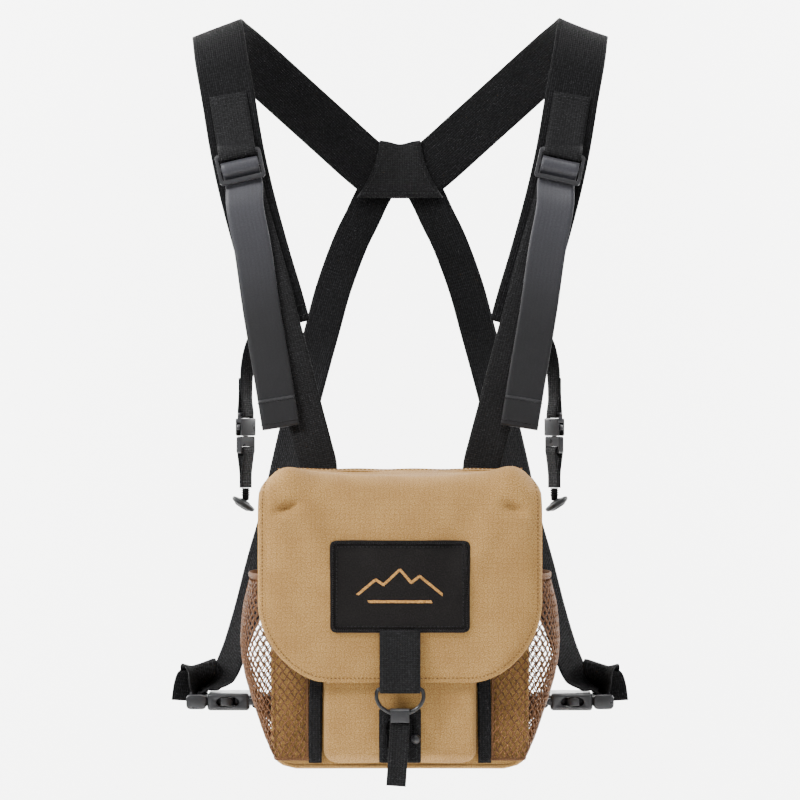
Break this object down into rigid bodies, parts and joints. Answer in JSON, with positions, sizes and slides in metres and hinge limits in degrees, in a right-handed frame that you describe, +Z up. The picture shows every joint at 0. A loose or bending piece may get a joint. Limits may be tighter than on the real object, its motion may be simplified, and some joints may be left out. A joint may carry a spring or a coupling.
{
  "type": "binocular harness pack",
  "caption": "Padded chest case with a drop-front flap and side net pockets, carried on a crossed shoulder harness with side-release buckles.",
  "frame": {"origin": "middle of the line over the two shoulders, where the harness rests on the wearer", "axes": "+Z up, +Y towards the wearer's back, +X to the viewer's right when the case is seen from the front"},
  "size_m": [0.3156, 0.2705, 0.5094],
  "materials": {
    "tan_cloth": "khaki twill weave, matt",
    "brown_net": "open knitted net, slight sheen",
    "black_elastic": "ribbed elastic webbing",
    "black_cloth": "plain woven cloth",
    "patch_cloth": "felted cloth with a stitched border",
    "black_webbing": "flat polyester webbing",
    "black_acetal": "moulded, fine satin texture",
    "blackened_steel": "black coated wire, semi-gloss",
    "board": "plain sheet"
  },
  "bodies": {
    "harness": {"back_panel": "tan_cloth", "front_panel": "tan_cloth", "side_and_base_gusset": "tan_cloth", "base_board": "board", "front_pocket": "tan_cloth", "pocket_tape_left": "black_webbing", "pocket_tape_right": "black_webbing", "latch_base": "black_webbing", "latch_cord": "black_elastic", "net_pocket_left": "brown_net", "net_binding_left": "brown_net", "net_pocket_right": "brown_net", "net_binding_right": "brown_net", "yoke_front": "black_cloth", "yoke_back": "black_cloth", "waist_buckle_socket_left": "black_acetal", "anchor_tab_left": "black_webbing", "shoulder_band_left": "black_elastic", "strap_adjuster_left": "black_acetal", "adjuster_tab_left": "black_webbing", "chest_webbing_left": "black_webbing", "back_strap_left": "black_elastic", "tether_loop_left": "black_webbing", "tether_buckle_socket_left": "black_acetal", "waist_buckle_socket_right": "black_acetal", "anchor_tab_right": "black_webbing", "shoulder_band_right": "black_elastic", "strap_adjuster_right": "black_acetal", "adjuster_tab_right": "black_webbing", "chest_webbing_right": "black_webbing", "back_strap_right": "black_elastic", "tether_loop_right": "black_webbing", "tether_buckle_socket_right": "black_acetal"},
    "flap": {"flap": "tan_cloth", "front_patch": "patch_cloth", "flap_strap": "black_webbing"},
    "ring": {"d_ring": "blackened_steel"},
    "latch": {"latch_hook": "black_acetal", "pull_tab": "black_webbing"},
    "waist_plug_left": {"waist_buckle_plug_left": "black_acetal", "waist_strap_end_left": "black_elastic"},
    "waist_arm_a_left": {"waist_buckle_arm_a_left": "black_acetal"},
    "waist_arm_b_left": {"waist_buckle_arm_b_left": "black_acetal"},
    "tether_plug_left": {"tether_buckle_plug_left": "black_acetal", "tether_web_left": "black_webbing", "tether_cord_left": "black_webbing"},
    "tether_arm_a_left": {"tether_buckle_arm_a_left": "black_acetal"},
    "tether_arm_b_left": {"tether_buckle_arm_b_left": "black_acetal"},
    "toggle_left": {"tether_toggle_left": "black_acetal"},
    "waist_plug_right": {"waist_buckle_plug_right": "black_acetal", "waist_strap_end_right": "black_elastic"},
    "waist_arm_a_right": {"waist_buckle_arm_a_right": "black_acetal"},
    "waist_arm_b_right": {"waist_buckle_arm_b_right": "black_acetal"},
    "tether_plug_right": {"tether_buckle_plug_right": "black_acetal", "tether_web_right": "black_webbing", "tether_cord_right": "black_webbing"},
    "tether_arm_a_right": {"tether_buckle_arm_a_right": "black_acetal"},
    "tether_arm_b_right": {"tether_buckle_arm_b_right": "black_acetal"},
    "toggle_right": {"tether_toggle_right": "black_acetal"}
  },
  "joints": [
    {"name": "flap_open", "type": "hinge", "parent": "harness", "child": "flap", "pos_m": [0, -0.091, -0.301], "axis": [-1, 0, 0], "range_deg": [0, 85]},
    {"name": "ring_swing", "type": "hinge", "parent": "flap", "child": "ring", "pos_m": [0, -0.18544, -0.43894], "axis": [-1, 0, 0], "range_deg": [0, 60]},
    {"name": "latch_swing", "type": "hinge", "parent": "ring", "child": "latch", "pos_m": [0, -0.18544, -0.45534], "axis": [-1, 0, 0], "range_deg": [0, 60]},
    {"name": "waist_release_left", "type": "slide", "parent": "harness", "child": "waist_plug_left", "axis": [-1, 0, 0], "range_m": [0, 0.027]},
    {"name": "waist_press_a_left", "type": "hinge", "parent": "waist_plug_left", "child": "waist_arm_a_left", "pos_m": [-0.128, -0.0781, -0.4555], "axis": [0, 0, 1], "range_deg": [0, 6], "stiffness_Nm_per_rad": 0.05},
    {"name": "waist_press_b_left", "type": "hinge", "parent": "waist_plug_left", "child": "waist_arm_b_left", "pos_m": [-0.128, -0.0619, -0.4555], "axis": [0, 0, 1], "range_deg": [-6, 0], "stiffness_Nm_per_rad": 0.05},
    {"name": "tether_release_left", "type": "slide", "parent": "harness", "child": "tether_plug_left", "axis": [0, 0, -1], "range_m": [0, 0.013]},
    {"name": "tether_press_a_left", "type": "hinge", "parent": "tether_plug_left", "child": "tether_arm_a_left", "pos_m": [-0.10078, -0.06936, -0.279], "axis": [0.766, -0.6428, 0], "range_deg": [0, 6], "stiffness_Nm_per_rad": 0.02},
    {"name": "tether_press_b_left", "type": "hinge", "parent": "tether_plug_left", "child": "tether_arm_b_left", "pos_m": [-0.10522, -0.07464, -0.279], "axis": [0.766, -0.6428, 0], "range_deg": [-6, 0], "stiffness_Nm_per_rad": 0.02},
    {"name": "toggle_tilt_left", "type": "hinge", "parent": "tether_plug_left", "child": "toggle_left", "pos_m": [-0.103, -0.072, -0.3219], "axis": [0, 1, 0], "range_deg": [-20, 20]},
    {"name": "waist_release_right", "type": "slide", "parent": "harness", "child": "waist_plug_right", "axis": [1, 0, 0], "range_m": [0, 0.027]},
    {"name": "waist_press_a_right", "type": "hinge", "parent": "waist_plug_right", "child": "waist_arm_a_right", "pos_m": [0.128, -0.0619, -0.4555], "axis": [0, 0, 1], "range_deg": [0, 6], "stiffness_Nm_per_rad": 0.05},
    {"name": "waist_press_b_right", "type": "hinge", "parent": "waist_plug_right", "child": "waist_arm_b_right", "pos_m": [0.128, -0.0781, -0.4555], "axis": [0, 0, 1], "range_deg": [-6, 0], "stiffness_Nm_per_rad": 0.05},
    {"name": "tether_release_right", "type": "slide", "parent": "harness", "child": "tether_plug_right", "axis": [0, 0, -1], "range_m": [0, 0.013]},
    {"name": "tether_press_a_right", "type": "hinge", "parent": "tether_plug_right", "child": "tether_arm_a_right", "pos_m": [0.10078, -0.06936, -0.279], "axis": [0.766, 0.6428, 0], "range_deg": [0, 6], "stiffness_Nm_per_rad": 0.02},
    {"name": "tether_press_b_right", "type": "hinge", "parent": "tether_plug_right", "child": "tether_arm_b_right", "pos_m": [0.10522, -0.07464, -0.279], "axis": [0.766, 0.6428, 0], "range_deg": [-6, 0], "stiffness_Nm_per_rad": 0.02},
    {"name": "toggle_tilt_right", "type": "hinge", "parent": "tether_plug_right", "child": "toggle_right", "pos_m": [0.103, -0.072, -0.3219], "axis": [0, 1, 0], "range_deg": [-20, 20]}
  ],
  "couplings": [
    {"joint": "waist_press_b_left", "follows": "waist_press_a_left", "ratio": -1},
    {"joint": "tether_press_b_left", "follows": "tether_press_a_left", "ratio": -1},
    {"joint": "waist_press_b_right", "follows": "waist_press_a_right", "ratio": -1},
    {"joint": "tether_press_b_right", "follows": "tether_press_a_right", "ratio": -1}
  ]
}
